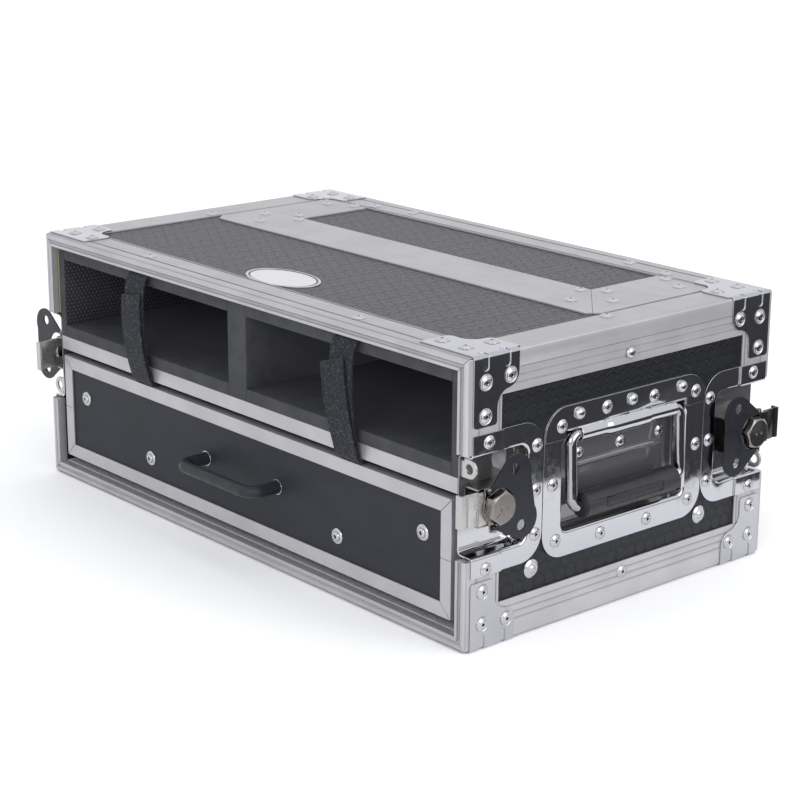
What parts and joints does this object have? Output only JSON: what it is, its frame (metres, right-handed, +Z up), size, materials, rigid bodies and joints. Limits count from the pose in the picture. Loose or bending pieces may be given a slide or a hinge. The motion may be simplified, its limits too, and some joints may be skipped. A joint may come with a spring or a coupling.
{
  "type": "road case with drawers",
  "caption": "Laminated flight case with foam-lined bays above a pull-out drawer, aluminium edging, steel corner braces, recessed handles and butterfly latches.",
  "frame": {"origin": "centre of the case's footprint, in the plane of the bottom braces' undersides", "axes": "+X across the front to the right, +Y from the drawer's front to the rear, +Z up"},
  "size_m": [0.5879, 0.3521, 0.2147],
  "materials": {
    "laminate": "black phenolic laminate on plywood, embossed",
    "plywood": "bare plywood",
    "aluminium": "satin anodised",
    "brace_steel": "satin plated steel",
    "plate_metal": "satin",
    "chrome_sheet": "bright chrome plate",
    "chrome_wire": "bright chrome plate",
    "grip_rubber": "matte",
    "dark_steel": "zinc plated, dull",
    "foam": "closed-cell foam, matte",
    "strap": "hook-and-loop webbing",
    "runner_steel": "zinc plated",
    "fastener": "polished",
    "black_bar": "black powder coat",
    "nickel": "nickel plated",
    "black_wing": "black coated steel"
  },
  "bodies": {
    "case": {"top_panel": "laminate", "bottom_panel": "laminate", "side_panel_left": "laminate", "side_panel_right": "laminate", "shelf_board": "laminate", "shelf_strips": "aluminium", "front_rails": "aluminium", "rear_rails": "aluminium", "front_posts": "aluminium", "rear_posts": "aluminium", "edge_angles": "aluminium", "hatch_trim": "aluminium", "corner_braces_top": "brace_steel", "corner_braces_bottom": "brace_steel", "oval_plate": "plate_metal", "handle_dish_left": "chrome_sheet", "handle_dish_right": "chrome_sheet", "handle_cover_left": "chrome_sheet", "handle_cover_right": "chrome_sheet", "latch_dishes_left": "chrome_sheet", "latch_dishes_right": "chrome_sheet", "latch_bases": "dark_steel", "padlock_eyes": "dark_steel", "foam_side_left": "foam", "foam_side_right": "foam", "foam_divider": "foam", "foam_floor": "foam", "foam_top": "foam", "strap_left": "strap", "strap_right": "strap", "runner_outers": "runner_steel", "runner_bolts": "fastener", "rivets": "fastener"},
    "drawer": {"runner_inners": "runner_steel", "drawer_front": "laminate", "drawer_trim": "aluminium", "drawer_box": "laminate", "drawer_bottom": "plywood", "pull_handle": "black_bar", "drawer_bolts": "fastener"},
    "runner_middle": {"runner_middles": "runner_steel"},
    "handle_left": {"handle_bail_left": "chrome_wire", "handle_grip_left": "grip_rubber"},
    "handle_right": {"handle_bail_right": "chrome_wire", "handle_grip_right": "grip_rubber"},
    "spindle_front_left": {"spindle_front_left": "nickel"},
    "hook_front_left": {"hook_front_left": "nickel"},
    "wing_front_left": {"wing_front_left": "black_wing"},
    "spindle_front_right": {"spindle_front_right": "nickel"},
    "hook_front_right": {"hook_front_right": "nickel"},
    "wing_front_right": {"wing_front_right": "black_wing"},
    "spindle_rear_left": {"spindle_rear_left": "nickel"},
    "hook_rear_left": {"hook_rear_left": "nickel"},
    "wing_rear_left": {"wing_rear_left": "black_wing"},
    "spindle_rear_right": {"spindle_rear_right": "nickel"},
    "hook_rear_right": {"hook_rear_right": "nickel"},
    "wing_rear_right": {"wing_rear_right": "black_wing"}
  },
  "joints": [
    {"name": "drawer_slide", "type": "slide", "parent": "case", "child": "drawer", "axis": [0, -1, 0], "range_m": [0, 0.25]},
    {"name": "runner_middle_slide", "type": "slide", "parent": "case", "child": "runner_middle", "axis": [0, -1, 0], "range_m": [0, 0.126]},
    {"name": "handle_swing_left", "type": "hinge", "parent": "case", "child": "handle_left", "pos_m": [-0.2625, 0, 0.139], "axis": [0, 1, 0], "range_deg": [0, 76], "stiffness_Nm_per_rad": 0.06, "springref_deg": -28.65},
    {"name": "handle_swing_right", "type": "hinge", "parent": "case", "child": "handle_right", "pos_m": [0.2625, 0, 0.139], "axis": [0, -1, 0], "range_deg": [0, 76], "stiffness_Nm_per_rad": 0.06, "springref_deg": -28.65},
    {"name": "latch_turn_front_left", "type": "hinge", "parent": "case", "child": "spindle_front_left", "pos_m": [-0.2701, -0.1334, 0.1055], "axis": [-1, 0, 0], "range_deg": [0, 180]},
    {"name": "hook_slide_front_left", "type": "slide", "parent": "case", "child": "hook_front_left", "axis": [0, 1, 0], "range_m": [0, 0.0101]},
    {"name": "wing_fold_front_left", "type": "hinge", "parent": "spindle_front_left", "child": "wing_front_left", "pos_m": [-0.27105, -0.1399, 0.1055], "axis": [0, 0, 1], "range_deg": [-90, 0]},
    {"name": "latch_turn_front_right", "type": "hinge", "parent": "case", "child": "spindle_front_right", "pos_m": [0.2701, -0.1334, 0.1055], "axis": [1, 0, 0], "range_deg": [-98, 82]},
    {"name": "hook_slide_front_right", "type": "slide", "parent": "case", "child": "hook_front_right", "axis": [0, 1, 0], "range_m": [-0.0055, 0.0046]},
    {"name": "wing_fold_front_right", "type": "hinge", "parent": "spindle_front_right", "child": "wing_front_right", "pos_m": [0.27105, -0.1398, 0.10437], "axis": [0, 0.1736, -0.9848], "range_deg": [0, 90]},
    {"name": "latch_turn_rear_left", "type": "hinge", "parent": "case", "child": "spindle_rear_left", "pos_m": [-0.2701, 0.1334, 0.1055], "axis": [-1, 0, 0], "range_deg": [0, 180]},
    {"name": "hook_slide_rear_left", "type": "slide", "parent": "case", "child": "hook_rear_left", "axis": [0, -1, 0], "range_m": [0, 0.0101]},
    {"name": "wing_fold_rear_left", "type": "hinge", "parent": "spindle_rear_left", "child": "wing_rear_left", "pos_m": [-0.27105, 0.1399, 0.1055], "axis": [0, 0, -1], "range_deg": [0, 90]},
    {"name": "latch_turn_rear_right", "type": "hinge", "parent": "case", "child": "spindle_rear_right", "pos_m": [0.2701, 0.1334, 0.1055], "axis": [1, 0, 0], "range_deg": [0, 180]},
    {"name": "hook_slide_rear_right", "type": "slide", "parent": "case", "child": "hook_rear_right", "axis": [0, -1, 0], "range_m": [0, 0.0101]},
    {"name": "wing_fold_rear_right", "type": "hinge", "parent": "spindle_rear_right", "child": "wing_rear_right", "pos_m": [0.27105, 0.1399, 0.1055], "axis": [0, 0, 1], "range_deg": [0, 90]}
  ],
  "couplings": [
    {"joint": "runner_middle_slide", "follows": "drawer_slide", "ratio": 0.5},
    {"joint": "hook_slide_front_left", "follows": "latch_turn_front_left", "m_per_rad": 0.0031831},
    {"joint": "hook_slide_front_right", "follows": "latch_turn_front_right", "m_per_rad": 0.0031831},
    {"joint": "hook_slide_rear_left", "follows": "latch_turn_rear_left", "m_per_rad": 0.0031831},
    {"joint": "hook_slide_rear_right", "follows": "latch_turn_rear_right", "m_per_rad": 0.0031831}
  ]
}
